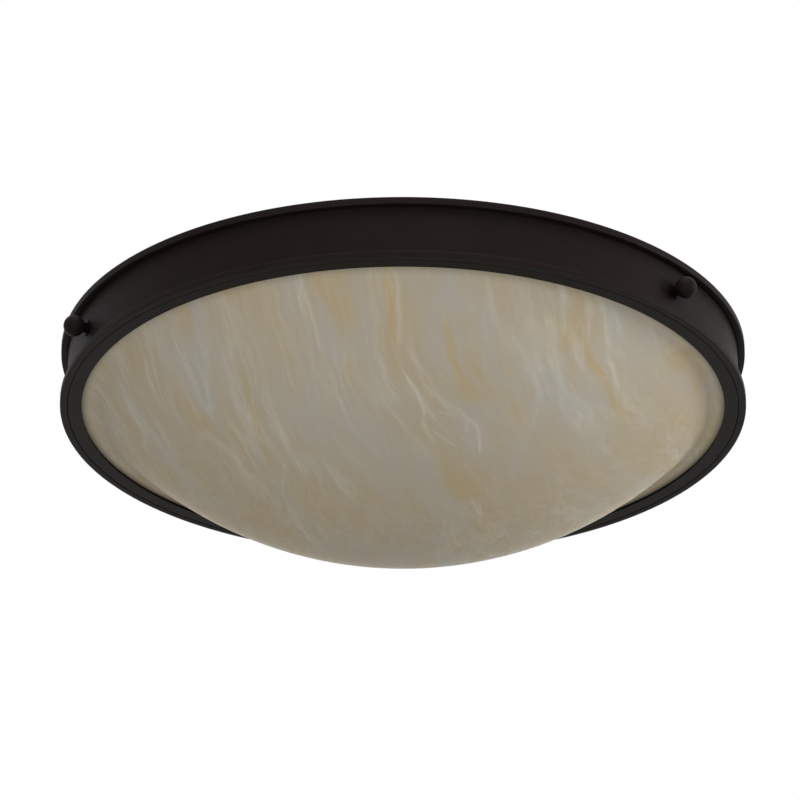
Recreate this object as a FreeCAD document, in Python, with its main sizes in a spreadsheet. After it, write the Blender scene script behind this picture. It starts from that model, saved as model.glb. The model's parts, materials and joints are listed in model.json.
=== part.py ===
"""Semi flush ceiling light: band frame with a bowl diffuser, hung on a short stem.

Millimetres, +Z up. The origin is the middle of the two box screws, in the
ceiling plane, and everything hangs below it. The viewer looks along +Y.
"""
import FreeCAD, Part
import math
import os
import re

import Sketcher

doc = FreeCAD.newDocument("ceiling_light")
sheet = doc.addObject("Spreadsheet::Sheet", "Dims")

# ---------------------------------------------------------------- driving sizes
SIZES = {
    # fixing to the ceiling box
    "box_screw_spacing": 88.9,      # the two screws of a 4 inch ceiling box
    "box_screw_hole": 4.8,          # width of each strap slot
    "box_slot_length": 12.0,        # slots allow the strap to be turned true
    "strap_end": 3.55,              # metal left beyond each slot
    "strap_width": 20.0,
    "strap_thickness": 2.5,
    "strap_end_round": 4.0,
    "ground_screw_place": 22.0,     # from the middle of the strap
    "ground_screw_thread": 4.8,
    "ground_screw_head": 9.6,
    "ground_screw_head_height": 3.2,
    # stem
    "ceiling_gap": 90.0,            # ceiling to the top of the frame
    "nipple_diameter": 10.0,
    "nipple_bore": 7.0,
    "nipple_below_pan": 9.0,        # what stands out under the pan for its nut
    "nut_width": 16.0,              # across flats
    "nut_height": 3.2,
    "sleeve_diameter": 15.9,
    "sleeve_wall": 1.2,
    "seat_ring_diameter": 40.0,
    "seat_ring_height": 4.0,
    "lock_washer_diameter": 18.0,
    "lock_washer_thickness": 1.0,
    "thread_clearance": 0.1,        # between a nut's bore and the threaded pipe
    # canopy
    "canopy_diameter": 133.4,
    "canopy_depth": 25.0,
    "canopy_sheet": 0.9,
    "canopy_rim_width": 3.0,        # rim turned in flat against the ceiling
    "canopy_skirt": 5.0,
    "canopy_flat_radius": 20.0,
    "canopy_dome_radius": 62.0,
    "slide_clearance": 0.4,         # canopy and slip ring on the sleeve
    "slip_ring_diameter": 27.0,
    "slip_ring_height": 9.0,
    "set_screw_diameter": 4.0,
    "set_screw_head": 9.0,
    "set_screw_head_length": 7.0,
    # frame
    "ring_radius": 304.8,           # outside of the two square hoops, 24 inch across
    "ring_height": 57.15,
    "hoop_bar": 6.35,               # square bar, rolled round the band
    "hoop_edge_round": 0.5,
    "band_wall": 1.5,
    "band_bend": 0.1,               # inside radius where the band turns in
    "flange_width": 12.7,           # what the bowl rests on
    "boss_diameter": 10.0,
    "boss_height": 4.0,             # threaded boss inside the band, for a knob's stud
    # pan
    "pan_sheet": 0.9,
    "pan_gap": 0.65,                # boss to the pan's skirt
    "pan_below_rim": 1.5,           # top of the pan under the top of the frame
    "pan_depth": 38.0,
    "pan_corner": 8.0,
    "pan_hem": 4.0,
    "pan_dish_radius": 56.0,        # pressed seat round the stem
    "pan_dish_height": 3.0,
    # bowl
    "gasket_width": 7.5,
    "gasket_thickness": 1.5,
    "gasket_inset": 0.8,            # from the flange's edge
    "bowl_drop": 115.5,             # lowest point under the frame
    "bowl_shoulder": 16.5,          # lip's edge to where its flat part starts
    "bowl_wall": 3.0,
    "bowl_neck_round": 12.0,        # where the dome flares into its lip
    "bowl_lip_gap": 3.0,            # lip to the inside of the band
    # knobs
    "knob_ball": 19.05,
    "knob_collar_diameter": 9.0,
    "knob_collar_length": 2.2,
    "knob_washer_diameter": 14.0,
    "knob_washer_thickness": 1.0,
    "knob_seat_gap": 0.12,          # flat washer on the round band
    "stud_diameter": 4.8,
    "stud_in_ball": 6.0,
    "stud_clearance": 0.15,
    "stud_tip_gap": 0.3,            # tip to the pan's skirt
    "knob_first_angle": 322.0,      # from +X, seen from above
    # lamps
    "lamp_first_angle": 30.0,
    "lamp_axis_drop": 38.5,         # lamp axis under the top of the pan
    "holder_back_radius": 30.0,     # stem axis to the back of each lampholder
    "holder_diameter": 38.0,
    "holder_neck_diameter": 30.0,
    "holder_neck_length": 13.0,
    "holder_length": 48.0,
    "holder_shoulder": 4.0,
    "holder_bore": 29.4,
    "holder_bore_depth": 30.0,
    "shell_diameter": 28.8,
    "shell_wall": 0.5,
    "shell_length": 27.0,
    "cap_diameter": 26.4,
    "cap_length": 25.0,
    "cap_shoulder": 7.0,
    "cap_contact_diameter": 9.0,
    "cap_contact_height": 2.0,
    "cap_clearance": 0.5,
    "lamp_glass_diameter": 60.0,
    "lamp_glass_length": 84.0,
    "lamp_neck_diameter": 27.0,
    "lamp_neck_round": 40.0,
    "lamp_glass_wall": 1.0,
    "bracket_width": 24.0,
    "bracket_sheet": 1.2,
    "bracket_foot": 17.0,
    "bracket_below_axis": 16.0,
    "bracket_wire_hole": 14.0,
    "bracket_screw_diameter": 4.0,
    "bracket_screw_head": 7.0,
    "bracket_screw_head_height": 2.4,
    "lead_diameter": 2.0,
    "lead_ring_radius": 2.2,        # six leads round the bore of the nipple
    "lead_spread": 5.0,             # each lead beside the holder's axis
}
LAMPS = 3
KNOBS = 3

for row, (alias, size) in enumerate(SIZES.items(), start=1):
    sheet.set(f"A{row}", alias.replace("_", " "))
    sheet.set(f"B{row}", str(size))
    sheet.setAlias(f"B{row}", alias)
doc.recompute()

# --------------------------------------------------- places worked out from them
RING_TOP = "(-ceiling_gap)"
RING_BOTTOM = f"({RING_TOP} - ring_height)"
BAND_OUTER = "(ring_radius - hoop_bar)"
BAND_INNER = f"({BAND_OUTER} - band_wall)"
OPENING = f"({BAND_OUTER} - flange_width)"
BOSS_FOOT = f"(sqrt({BAND_INNER}^2 - (boss_diameter / 2)^2) - boss_height)"
PAN_RADIUS = f"({BOSS_FOOT} - pan_gap)"
PAN_TOP = f"({RING_TOP} - pan_below_rim)"
PAN_SEAT = f"({PAN_TOP} + pan_dish_height)"
LIP_BOTTOM = f"({RING_BOTTOM} + band_wall + gasket_thickness)"
BOWL_BOTTOM = f"({RING_BOTTOM} - bowl_drop)"
LIP_EDGE = f"({BAND_INNER} - bowl_lip_gap)"
BOWL_NECK = f"({LIP_EDGE} - bowl_shoulder)"
BOWL_RISE = f"({LIP_BOTTOM} - {BOWL_BOTTOM})"
BOWL_RADIUS = f"(({BOWL_NECK}^2 + {BOWL_RISE}^2 - 2 * {BOWL_RISE} * bowl_neck_round) / (2 * {BOWL_RISE}))"
BOWL_CENTRE = f"({BOWL_BOTTOM} + {BOWL_RADIUS})"
KNOB_HEIGHT = f"({RING_BOTTOM} + ring_height / 2)"
WASHER_PLACE = f"({BAND_OUTER} + knob_seat_gap)"
COLLAR_PLACE = f"({WASHER_PLACE} + knob_washer_thickness)"
LAMP_AXIS = f"({PAN_TOP} - lamp_axis_drop)"
HOLDER_MOUTH = "(holder_back_radius + holder_length)"
CAP_BACK = f"({HOLDER_MOUTH} - holder_bore_depth + cap_clearance)"
SLEEVE_BOTTOM = f"({PAN_SEAT} + seat_ring_height)"
SLIP_RING_TOP = "(-canopy_depth)"

subparts = []


# ------------------------------------------------------------------ small tools
def tied(expression):
    """The expression with every size's name led back to the sheet."""
    return re.sub(r"[a-z][a-z_]+", lambda m: f"Dims.{m[0]}" if m[0] in SIZES else m[0], expression)


def value(expression):
    """What an expression on the sheet's sizes comes to."""
    return float(sheet.evalExpression(tied(expression)))


def tie(thing, setting, expression):
    thing.setExpression(setting, tied(expression))


def new_body(node):
    body = doc.addObject("PartDesign::Body", node)
    body.Label = node
    subparts.append(body)
    return body


def new_sketch(body, plane, name="Outline"):
    """A sketch on one of the body's own origin planes."""
    sketch = body.newObject("Sketcher::SketchObject", name)
    side = [f for f in body.Origin.OriginFeatures if f.Role == plane][0]
    sketch.AttachmentSupport = [(side, "")]
    sketch.MapMode = "FlatFace"
    return sketch


def arc_through(start, end, radius, side):
    """The short arc between two points, its centre left (1) or right (-1) of the way there."""
    run = (end[0] - start[0], end[1] - start[1])
    length = math.hypot(*run)
    rise = math.sqrt(max(radius ** 2 - (length / 2) ** 2, 0.0))
    centre = (
        (start[0] + end[0]) / 2 - side * rise * run[1] / length,
        (start[1] + end[1]) / 2 + side * rise * run[0] / length,
    )
    first, last = (start, end) if side > 0 else (end, start)
    angles = [math.atan2(p[1] - centre[1], p[0] - centre[0]) for p in (first, last)]
    circle = Part.Circle(FreeCAD.Vector(*centre, 0), FreeCAD.Vector(0, 0, 1), radius)
    return Part.ArcOfCircle(circle, angles[0], angles[1])


def add_loop(sketch, corners, arcs=None):
    """A closed outline. Corners are pairs of expressions; arcs[i] rounds the side after corner i."""
    arcs = arcs or {}
    points = [(value(x), value(y)) for x, y in corners]
    first = sketch.GeometryCount
    heads = []
    tails = []
    for i, start in enumerate(points):
        end = points[(i + 1) % len(points)]
        if i in arcs:
            radius, side = arcs[i]
            sketch.addGeometry(arc_through(start, end, value(radius), side), False)
        else:
            side = 1
            sketch.addGeometry(Part.LineSegment(FreeCAD.Vector(*start, 0), FreeCAD.Vector(*end, 0)), False)
        heads.append(1 if side > 0 else 2)
        tails.append(2 if side > 0 else 1)
    for i, (x, y) in enumerate(corners):
        here = first + i
        before = first + (i - 1) % len(corners)
        sketch.addConstraint(Sketcher.Constraint("Coincident", before, tails[i - 1], here, heads[i]))
        for kind, expression in (("DistanceX", x), ("DistanceY", y)):
            limit = Sketcher.Constraint(kind, -1, 1, here, heads[i], value(expression))
            number = sketch.addConstraint(limit)
            sketch.setExpression(f"Constraints[{number}]", tied(expression))
        if i in arcs:
            number = sketch.addConstraint(Sketcher.Constraint("Radius", here, value(arcs[i][0])))
            sketch.setExpression(f"Constraints[{number}]", tied(arcs[i][0]))


def add_circle(sketch, x, y, radius):
    centre = FreeCAD.Vector(value(x), value(y), 0)
    circle = sketch.addGeometry(Part.Circle(centre, FreeCAD.Vector(0, 0, 1), value(radius)), False)
    for kind, expression in (("DistanceX", x), ("DistanceY", y)):
        number = sketch.addConstraint(Sketcher.Constraint(kind, -1, 1, circle, 3, value(expression)))
        sketch.setExpression(f"Constraints[{number}]", tied(expression))
    number = sketch.addConstraint(Sketcher.Constraint("Radius", circle, value(radius)))
    sketch.setExpression(f"Constraints[{number}]", tied(radius))


def add_slot(sketch, x, y, length, width):
    """A slot along X with round ends, centred on x, y."""
    r = f"({width} / 2)"
    reach = f"({length} / 2 - {r})"
    corners = [
        (f"{x} - {reach}", f"{y} - {r}"),
        (f"{x} + {reach}", f"{y} - {r}"),
        (f"{x} + {reach} + {r}", y),
        (f"{x} + {reach}", f"{y} + {r}"),
        (f"{x} - {reach}", f"{y} + {r}"),
        (f"{x} - {reach} - {r}", y),
    ]
    add_loop(sketch, corners, {i: (r, 1) for i in (1, 2, 4, 5)})


def revolve(node, corners, arcs=None):
    """A body turned round its own Z axis from a half section in X and Z."""
    body = new_body(node)
    sketch = new_sketch(body, "XZ_Plane")
    add_loop(sketch, corners, arcs)
    turn = body.newObject("PartDesign::Revolution", "Turned")
    turn.Profile = sketch
    turn.ReferenceAxis = (sketch, ["V_Axis"])
    turn.Angle = 360
    return body


def pad(body, sketch, length, symmetric=False):
    feature = body.newObject("PartDesign::Pad", "Plate")
    feature.Profile = sketch
    tie(feature, "Length", length)
    if symmetric:
        feature.SideType = "Symmetric"
    return feature


def pocket(body, sketch):
    """Cut a sketch right through the body, both ways."""
    feature = body.newObject("PartDesign::Pocket", "Cut")
    feature.Profile = sketch
    feature.SideType = "Symmetric"
    feature.Type = "ThroughAll"
    return feature


def box_corners(x_from, x_to, y_from, y_to):
    return [(x_from, y_from), (x_to, y_from), (x_to, y_to), (x_from, y_to)]


def hexagon(width):
    """Corners of a hexagon, given its width across the flats."""
    reach = f"({width} / 2 / cos(30))"
    return [(f"{reach} * cos({60 * k})", f"{reach} * sin({60 * k})") for k in range(6)]


def stand(body, height):
    """Put a body at its height on the stem's axis."""
    tie(body, "Placement.Base.z", height)


def lay_radial(body, angle, radius, height, beside="0"):
    """Turn a body's Z axis outward at an angle, and start it at a radius and height."""
    spin = f"rotation(vector(0; 0; 1); {angle}) * rotation(vector(0; 1; 0); 90)"
    x = f"{radius} * cos({angle}) - {beside} * sin({angle})"
    y = f"{radius} * sin({angle}) + {beside} * cos({angle})"
    tie(body, "Placement", f"placement(vector({x}; {y}; {height}); {spin})")


def turned_to(angle, radius, height):
    """The placement that turns a body about Z and moves it out along that angle."""
    place = f"vector({radius} * cos({angle}); {radius} * sin({angle}); {height})"
    return f"placement({place}; rotation(vector(0; 0; 1); {angle}))"


def tube_corners(inner, outer, bottom, top):
    return box_corners(inner, outer, bottom, top)


def joined(node, members):
    """Identical fasteners kept in one sub-part, each still a solid of its own."""
    doc.recompute()
    group = doc.addObject("Part::Feature", node)
    group.Label = node
    group.Shape = Part.makeCompound([m.Shape for m in members])
    for member in members:
        subparts.remove(member)
    subparts.append(group)


# ------------------------------------------------------------ ceiling and stem
def make_strap():
    """Flat crossbar with a slot for each box screw and a tapped hole for the stem."""
    body = new_body("mounting_strap")
    sketch = new_sketch(body, "XY_Plane")
    half_length = "(box_screw_spacing / 2 + box_slot_length / 2 + strap_end)"
    half_width = "strap_width / 2"
    r = "strap_end_round"
    corners = [
        (f"-{half_length} + {r}", f"-{half_width}"),
        (f"{half_length} - {r}", f"-{half_width}"),
        (half_length, f"-{half_width} + {r}"),
        (half_length, f"{half_width} - {r}"),
        (f"{half_length} - {r}", half_width),
        (f"-{half_length} + {r}", half_width),
        (f"-{half_length}", f"{half_width} - {r}"),
        (f"-{half_length}", f"-{half_width} + {r}"),
    ]
    add_loop(sketch, corners, {i: (r, 1) for i in (1, 3, 5, 7)})
    for sign in ("-", ""):
        add_slot(sketch, f"{sign}box_screw_spacing / 2", "0", "box_slot_length", "box_screw_hole")
    add_circle(sketch, "0", "0", "nipple_diameter / 2 + thread_clearance")
    add_circle(sketch, "ground_screw_place", "0", "ground_screw_thread / 2 + thread_clearance")
    pad(body, sketch, "strap_thickness")
    stand(body, "-strap_thickness")


def make_nut(node, top):
    """Thin hexagon nut on the threaded nipple."""
    body = new_body(node)
    sketch = new_sketch(body, "XY_Plane")
    add_loop(sketch, hexagon("nut_width"))
    add_circle(sketch, "0", "0", "nipple_diameter / 2 + thread_clearance")
    pad(body, sketch, "nut_height")
    stand(body, f"{top} - nut_height")


def make_ground_screw():
    """Hexagon head screw for the earth wire, under the strap."""
    body = new_body("ground_screw")
    head = new_sketch(body, "XY_Plane", "Head")
    add_loop(head, hexagon("ground_screw_head"))
    pad(body, head, "ground_screw_head_height")
    shank = new_sketch(body, "XY_Plane", "Shank")
    add_circle(shank, "0", "0", "ground_screw_thread / 2")
    pad(body, shank, "ground_screw_head_height + strap_thickness")
    tie(body, "Placement.Base.x", "ground_screw_place")
    stand(body, "-strap_thickness - ground_screw_head_height")


def make_stem():
    """Threaded nipple in a plain sleeve, standing on a seat ring on top of the pan."""
    r = "nipple_diameter / 2"
    nipple_bottom = f"{PAN_SEAT} - pan_sheet - nipple_below_pan"
    revolve("threaded_nipple", tube_corners("nipple_bore / 2", r, nipple_bottom, "0"))
    make_nut("strap_locknut", "-strap_thickness")
    outer = "sleeve_diameter / 2"
    sleeve_top = "-strap_thickness - nut_height"
    revolve("stem_sleeve", tube_corners(f"{outer} - sleeve_wall", outer, SLEEVE_BOTTOM, sleeve_top))
    bore = f"{r} + thread_clearance"
    edge = "seat_ring_diameter / 2"
    corners = [
        (bore, PAN_SEAT),
        (edge, PAN_SEAT),
        (edge, f"{PAN_SEAT} + seat_ring_height / 4"),
        (f"{outer} + seat_ring_height / 4", SLEEVE_BOTTOM),
        (bore, SLEEVE_BOTTOM),
    ]
    revolve("stem_seat_ring", corners)
    washer_top = f"({PAN_SEAT} - pan_sheet)"
    washer_bottom = f"({washer_top} - lock_washer_thickness)"
    revolve("pan_lock_washer", tube_corners(bore, "lock_washer_diameter / 2", washer_bottom, washer_top))
    make_nut("pan_locknut", washer_bottom)


def make_canopy():
    """Shallow spun dish over the ceiling box, with its rim turned in flat."""
    rim = "canopy_diameter / 2"
    hole = "sleeve_diameter / 2 + slide_clearance"
    flat = "canopy_flat_radius"
    t = "canopy_sheet"
    corners = [
        (f"{rim} - canopy_rim_width", f"-{t}"),
        (f"{rim} - canopy_rim_width", "0"),
        (rim, "0"),
        (rim, "-canopy_skirt"),
        (flat, "-canopy_depth"),
        (hole, "-canopy_depth"),
        (hole, f"-canopy_depth + {t}"),
        (flat, f"-canopy_depth + {t}"),
        (f"{rim} - {t}", "-canopy_skirt"),
        (f"{rim} - {t}", f"-{t}"),
    ]
    revolve("canopy", corners, {3: ("canopy_dome_radius", -1), 7: ("canopy_dome_radius", 1)})


def make_slip_ring():
    """Collar that holds the canopy up, clamped to the sleeve by a thumb screw."""
    hole = "sleeve_diameter / 2 + slide_clearance"
    edge = "slip_ring_diameter / 2"
    low = "-slip_ring_height"
    corners = [
        (hole, low),
        (f"{edge} - slip_ring_height / 4", low),
        (edge, f"{low} + slip_ring_height / 4"),
        (edge, "0"),
        (hole, "0"),
    ]
    body = revolve("slip_ring", corners)
    sketch = new_sketch(body, "YZ_Plane", "ScrewHole")
    add_circle(sketch, "0", "-slip_ring_height / 2", "set_screw_diameter / 2 + thread_clearance")
    bore = body.newObject("PartDesign::Pocket", "ScrewBore")
    bore.Profile = sketch
    bore.Reversed = True
    tie(bore, "Length", "slip_ring_diameter")
    stand(body, SLIP_RING_TOP)


def make_set_screw():
    """Thumb screw of the slip ring: a turned head on a short shank."""
    head = "set_screw_head / 2"
    shank = "set_screw_diameter / 2"
    start = "sleeve_diameter / 2 + slide_clearance / 2"
    head_start = f"(slip_ring_diameter / 2 + slide_clearance - {start})"
    corners = [
        ("0", "0"),
        (shank, "0"),
        (shank, head_start),
        (head, head_start),
        (head, f"{head_start} + set_screw_head_length"),
        ("0", f"{head_start} + set_screw_head_length"),
    ]
    body = revolve("slip_ring_screw", corners)
    lay_radial(body, "0", f"({start})", f"({SLIP_RING_TOP} - slip_ring_height / 2)")


# ------------------------------------------------------------------------- pan
def make_pan():
    """Pressed steel pan: raised seat round the stem, rounded shoulder, hemmed skirt."""
    t = "pan_sheet"
    edge = PAN_RADIUS
    shoulder = f"({edge} - pan_corner)"
    below = f"({PAN_TOP} - pan_corner)"
    foot = f"({PAN_TOP} - pan_depth)"
    hole = "nipple_diameter / 2 + thread_clearance"
    seat = "pan_dish_radius"
    seat_foot = f"({seat} + pan_dish_height)"
    corners = [
        (hole, PAN_SEAT),
        (hole, f"{PAN_SEAT} - {t}"),
        (f"{seat} - {t} / 2", f"{PAN_SEAT} - {t}"),
        (f"{seat_foot} - {t} / 2", f"{PAN_TOP} - {t}"),
        (shoulder, f"{PAN_TOP} - {t}"),
        (f"{edge} - {t}", below),
        (f"{edge} - {t}", f"{foot} + pan_hem"),
        (f"{edge} - 2 * {t}", f"{foot} + pan_hem"),
        (f"{edge} - 2 * {t}", foot),
        (edge, foot),
        (edge, below),
        (shoulder, PAN_TOP),
        (seat_foot, PAN_TOP),
        (seat, PAN_SEAT),
    ]
    body = revolve("pan", corners, {4: (f"pan_corner - {t}", -1), 10: ("pan_corner", 1)})
    place = "(holder_back_radius + bracket_foot / 2)"
    for lamp in range(LAMPS):
        angle = f"(lamp_first_angle + {lamp} * 360 / {LAMPS})"
        sketch = new_sketch(body, "XY_Plane", "ScrewHole")
        radius = "bracket_screw_diameter / 2 + thread_clearance"
        add_circle(sketch, f"{place} * cos({angle})", f"{place} * sin({angle})", radius)
        pocket(body, sketch)


# ----------------------------------------------------------------------- frame
def make_band():
    """Rolled band with its lower edge turned in to carry the bowl, and three stud holes."""
    bend = "(band_bend + band_wall)"
    corners = [
        (OPENING, RING_BOTTOM),
        (f"{BAND_OUTER} - {bend}", RING_BOTTOM),
        (BAND_OUTER, f"{RING_BOTTOM} + {bend}"),
        (BAND_OUTER, RING_TOP),
        (BAND_INNER, RING_TOP),
        (BAND_INNER, f"{RING_BOTTOM} + {bend}"),
        (f"{BAND_INNER} - band_bend", f"{RING_BOTTOM} + band_wall"),
        (OPENING, f"{RING_BOTTOM} + band_wall"),
    ]
    body = revolve("frame_band", corners, {1: (bend, 1), 5: ("band_bend", -1)})
    for knob in range(KNOBS):
        angle = f"(knob_first_angle + {knob} * 360 / {KNOBS})"
        bore = body.newObject("PartDesign::SubtractiveCylinder", "StudHole")
        tie(bore, "Radius", "stud_diameter / 2 + stud_clearance")
        tie(bore, "Height", "flange_width + hoop_bar")
        spin = f"rotation(vector(0; 0; 1); {angle}) * rotation(vector(0; 1; 0); 90)"
        place = f"vector({OPENING} * cos({angle}); {OPENING} * sin({angle}); {KNOB_HEIGHT})"
        tie(bore, "Placement", f"placement({place}; {spin})")


def make_hoop(node, bottom):
    """Square bar rolled into a hoop round the band, with softened edges."""
    r = "hoop_edge_round"
    low = f"({bottom})"
    high = f"({bottom} + hoop_bar)"
    corners = [
        (f"{BAND_OUTER} + {r}", low),
        (f"ring_radius - {r}", low),
        ("ring_radius", f"{low} + {r}"),
        ("ring_radius", f"{high} - {r}"),
        (f"ring_radius - {r}", high),
        (f"{BAND_OUTER} + {r}", high),
        (BAND_OUTER, f"{high} - {r}"),
        (BAND_OUTER, f"{low} + {r}"),
    ]
    revolve(node, corners, {i: (r, 1) for i in (1, 3, 5, 7)})


def make_bosses():
    """Threaded bosses welded inside the band, one for each knob's stud."""
    bosses = []
    for knob in range(KNOBS):
        angle = f"(knob_first_angle + {knob} * 360 / {KNOBS})"
        bore = "stud_diameter / 2 + stud_clearance"
        boss = revolve(f"boss_{knob + 1}", tube_corners(bore, "boss_diameter / 2", "0", "boss_height"))
        lay_radial(boss, angle, BOSS_FOOT, KNOB_HEIGHT)
        bosses.append(boss)
    joined("stud_bosses", bosses)


def make_gasket():
    """Soft ring between the flange and the bowl's lip."""
    inner = f"({OPENING} + gasket_inset)"
    low = f"({RING_BOTTOM} + band_wall)"
    revolve("bowl_gasket", tube_corners(inner, f"{inner} + gasket_width", low, LIP_BOTTOM))


def make_bowl():
    """Shallow dome that flares into a flat lip, of one wall thickness throughout.

    The dome's radius follows from how far it drops and where its neck is, so that
    its outside runs smoothly into the neck's round.
    """
    reach = f"({BOWL_RADIUS} + bowl_neck_round)"
    fall = f"({BOWL_CENTRE} - {LIP_BOTTOM} + bowl_neck_round)"
    neck = BOWL_NECK
    inside = f"({BOWL_RADIUS} - bowl_wall)"
    lip_top = f"({LIP_BOTTOM} + bowl_wall)"
    corners = [
        ("0", BOWL_BOTTOM),
        (f"{neck} * {BOWL_RADIUS} / {reach}", f"{BOWL_CENTRE} - {fall} * {BOWL_RADIUS} / {reach}"),
        (neck, LIP_BOTTOM),
        (LIP_EDGE, LIP_BOTTOM),
        (LIP_EDGE, lip_top),
        (neck, lip_top),
        (f"{neck} * {inside} / {reach}", f"{BOWL_CENTRE} - {fall} * {inside} / {reach}"),
        ("0", f"{BOWL_BOTTOM} + bowl_wall"),
    ]
    arcs = {
        0: (BOWL_RADIUS, 1),
        1: ("bowl_neck_round", -1),
        5: ("bowl_neck_round + bowl_wall", 1),
        6: (inside, -1),
    }
    revolve("bowl_diffuser", corners, arcs)


# ----------------------------------------------------------------------- knobs
def make_knob(number):
    """Ball knob on a threaded stud, with its washer, turned to its place on the band."""
    angle = f"(knob_first_angle + {number - 1} * 360 / {KNOBS})"
    ball = "(knob_ball / 2)"
    collar = "(knob_collar_diameter / 2)"
    meet = f"sqrt({ball}^2 - {collar}^2)"
    centre = f"(knob_collar_length + {meet})"
    stud = "(stud_diameter / 2)"
    seat = f"(knob_collar_length + stud_in_ball)"
    corners = [
        (stud, "0"),
        (collar, "0"),
        (collar, "knob_collar_length"),
        (ball, centre),
        ("0", f"{centre} + {ball}"),
        ("0", seat),
        (stud, seat),
    ]
    body = revolve(f"knob_{number}", corners, {2: (ball, 1), 3: (ball, 1)})
    lay_radial(body, angle, COLLAR_PLACE, KNOB_HEIGHT)

    tip = f"({PAN_RADIUS} + stud_tip_gap)"
    length = f"({COLLAR_PLACE} + {seat} - {tip})"
    point = "(stud_diameter / 8)"
    corners = [
        ("0", "0"),
        (f"{stud} - {point}", "0"),
        (stud, point),
        (stud, length),
        ("0", length),
    ]
    body = revolve(f"knob_stud_{number}", corners)
    lay_radial(body, angle, tip, KNOB_HEIGHT)

    bore = f"{stud} + stud_clearance"
    washer = tube_corners(bore, "knob_washer_diameter / 2", "0", "knob_washer_thickness")
    body = revolve(f"knob_washer_{number}", washer)
    lay_radial(body, angle, WASHER_PLACE, KNOB_HEIGHT)


# ----------------------------------------------------------------------- lamps
def make_bracket(number, angle):
    """Angle bracket under the pan: the foot takes a screw, the leg carries the holder."""
    body = new_body(f"lamp_bracket_{number}")
    t = "bracket_sheet"
    back = f"(holder_back_radius - {t})"
    sketch = new_sketch(body, "XZ_Plane")
    side = [
        (back, f"{LAMP_AXIS} - bracket_below_axis"),
        ("holder_back_radius", f"{LAMP_AXIS} - bracket_below_axis"),
        ("holder_back_radius", f"{PAN_SEAT} - pan_sheet - {t}"),
        ("holder_back_radius + bracket_foot", f"{PAN_SEAT} - pan_sheet - {t}"),
        ("holder_back_radius + bracket_foot", f"{PAN_SEAT} - pan_sheet"),
        (back, f"{PAN_SEAT} - pan_sheet"),
    ]
    add_loop(sketch, side)
    pad(body, sketch, "bracket_width", symmetric=True)
    foot = new_sketch(body, "XY_Plane", "ScrewHole")
    radius = "bracket_screw_diameter / 2 + thread_clearance"
    add_circle(foot, "holder_back_radius + bracket_foot / 2", "0", radius)
    pocket(body, foot)
    leg = new_sketch(body, "YZ_Plane", "WireHole")
    add_circle(leg, "0", LAMP_AXIS, "bracket_wire_hole / 2")
    pocket(body, leg)
    tie(body, "Placement", turned_to(angle, "0", "0"))


def make_bracket_screw(number, angle):
    """Pan head screw up through the bracket's foot into the pan."""
    head = "bracket_screw_head / 2"
    shank = "bracket_screw_diameter / 2"
    grip = "bracket_screw_head_height + bracket_sheet + pan_sheet"
    corners = [
        ("0", "0"),
        (head, "0"),
        (head, "bracket_screw_head_height"),
        (shank, "bracket_screw_head_height"),
        (shank, grip),
        ("0", grip),
    ]
    body = revolve(f"bracket_screw_{number}", corners)
    place = "(holder_back_radius + bracket_foot / 2)"
    height = f"({PAN_SEAT} - {grip.replace(' + ', ' - ')})"
    tie(body, "Placement", turned_to(angle, place, height))
    return body


def make_holder(number, angle):
    """Moulded lampholder with a stepped barrel, and its screw shell."""
    outer = "holder_diameter / 2"
    neck = "holder_neck_diameter / 2"
    bore = "holder_bore / 2"
    floor = "(holder_length - holder_bore_depth)"
    corners = [
        ("0", "0"),
        (neck, "0"),
        (neck, "holder_neck_length"),
        (outer, "holder_neck_length + holder_shoulder"),
        (outer, "holder_length"),
        (bore, "holder_length"),
        (bore, floor),
        ("0", floor),
    ]
    body = revolve(f"lampholder_{number}", corners)
    lay_radial(body, angle, "holder_back_radius", LAMP_AXIS)

    shell = "shell_diameter / 2"
    corners = tube_corners(f"{shell} - shell_wall", shell, floor, f"{floor} + shell_length")
    body = revolve(f"lampholder_shell_{number}", corners)
    lay_radial(body, angle, "holder_back_radius", LAMP_AXIS)


def make_lamp(number, angle):
    """Screw-in lamp: metal cap with its centre contact, and a pear-shaped glass."""
    cap = "cap_diameter / 2"
    contact = "cap_contact_diameter / 2"
    corners = [
        ("0", "0"),
        (contact, "0"),
        (contact, "cap_contact_height"),
        (cap, "cap_shoulder"),
        (cap, "cap_length"),
        ("0", "cap_length"),
    ]
    body = revolve(f"lamp_cap_{number}", corners)
    lay_radial(body, angle, CAP_BACK, LAMP_AXIS)

    ball = "(lamp_glass_diameter / 2)"
    centre = f"(lamp_glass_length - {ball})"
    side = "(lamp_neck_diameter / 2 + lamp_neck_round)"
    reach = f"({ball} + lamp_neck_round)"
    rise = f"sqrt({reach}^2 - {side}^2)"
    wall = "lamp_glass_wall"
    inside = f"({ball} - {wall})"
    corners = [
        ("lamp_neck_diameter / 2", "0"),
        ("lamp_neck_diameter / 2", f"{centre} - {rise}"),
        (f"{side} * {ball} / {reach}", f"{centre} - {rise} * {ball} / {reach}"),
        (ball, centre),
        ("0", "lamp_glass_length"),
        ("0", f"lamp_glass_length - {wall}"),
        (inside, centre),
        (f"{side} * {inside} / {reach}", f"{centre} - {rise} * {inside} / {reach}"),
        (f"lamp_neck_diameter / 2 - {wall}", f"{centre} - {rise}"),
        (f"lamp_neck_diameter / 2 - {wall}", "0"),
    ]
    arcs = {
        1: ("lamp_neck_round", -1),
        2: (ball, 1),
        3: (ball, 1),
        5: (inside, -1),
        6: (inside, -1),
        7: (f"lamp_neck_round + {wall}", 1),
    }
    body = revolve(f"lamp_glass_{number}", corners, arcs)
    lay_radial(body, angle, f"({CAP_BACK} + cap_length)", LAMP_AXIS)


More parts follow.
